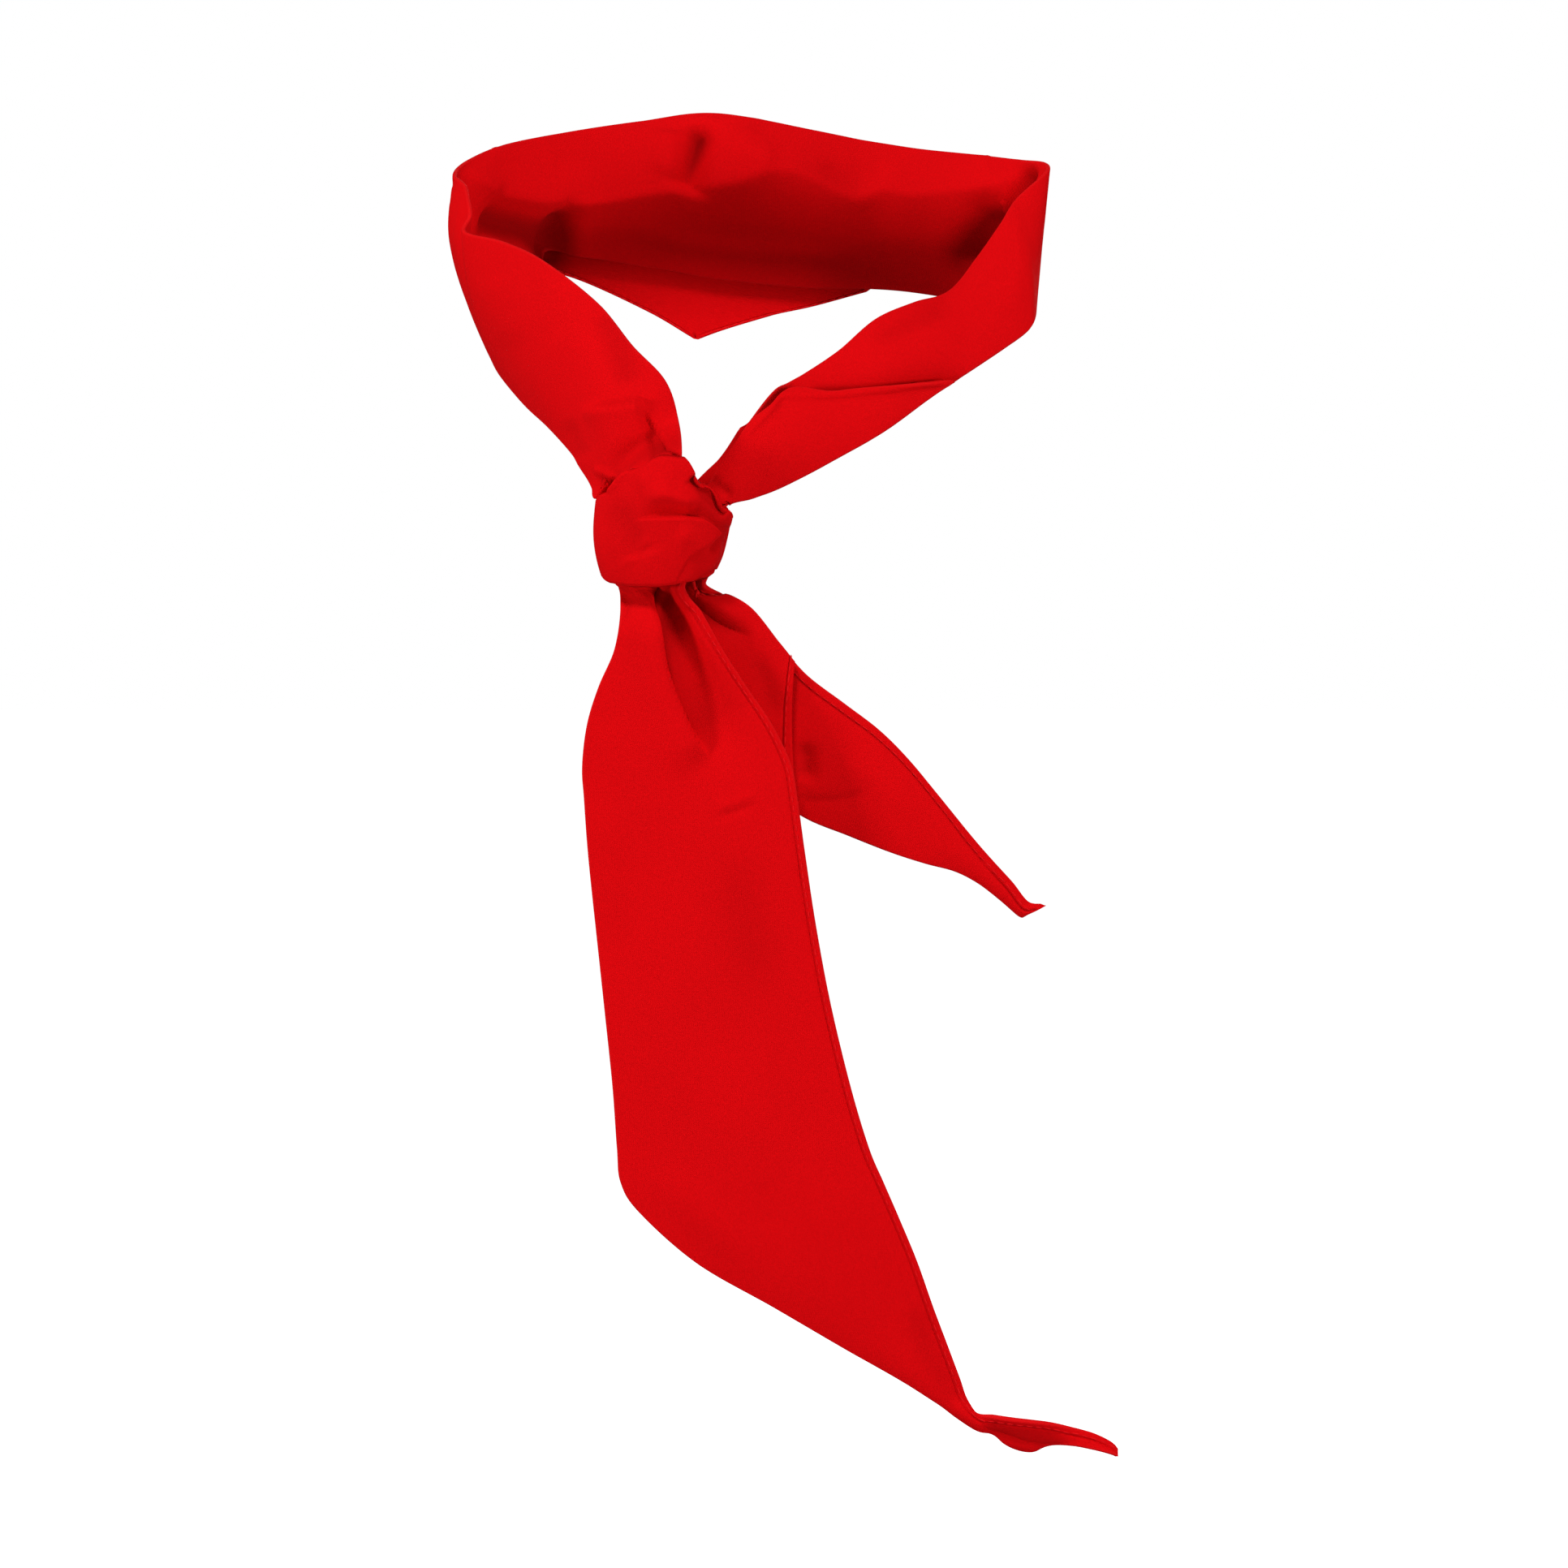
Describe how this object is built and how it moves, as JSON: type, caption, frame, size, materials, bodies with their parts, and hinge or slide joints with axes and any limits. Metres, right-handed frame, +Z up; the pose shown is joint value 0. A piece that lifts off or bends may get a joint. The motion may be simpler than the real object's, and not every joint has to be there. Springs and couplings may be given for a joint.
{
  "type": "neckerchief",
  "caption": "Plain neckerchief folded to a band, with a knot at the front, a long tail, a short tail and a corner that hangs at the nape.",
  "frame": {"origin": "inner face of the band, in the middle of the nape", "axes": "+Z up, the knot and the tails towards -Y, +X to the right of someone who looks at the front"},
  "size_m": [0.2031, 0.1532, 0.4028],
  "materials": {
    "cloth": "plain woven cotton, matt, with hemmed edges"
  },
  "bodies": {
    "root": {"back_band": "cloth", "back_point": "cloth", "left_strap": "cloth", "right_strap": "cloth", "right_strap_fold": "cloth", "knot_wrap": "cloth", "long_tail": "cloth", "short_tail": "cloth", "short_tail_fold": "cloth"}
  },
  "joints": []
}
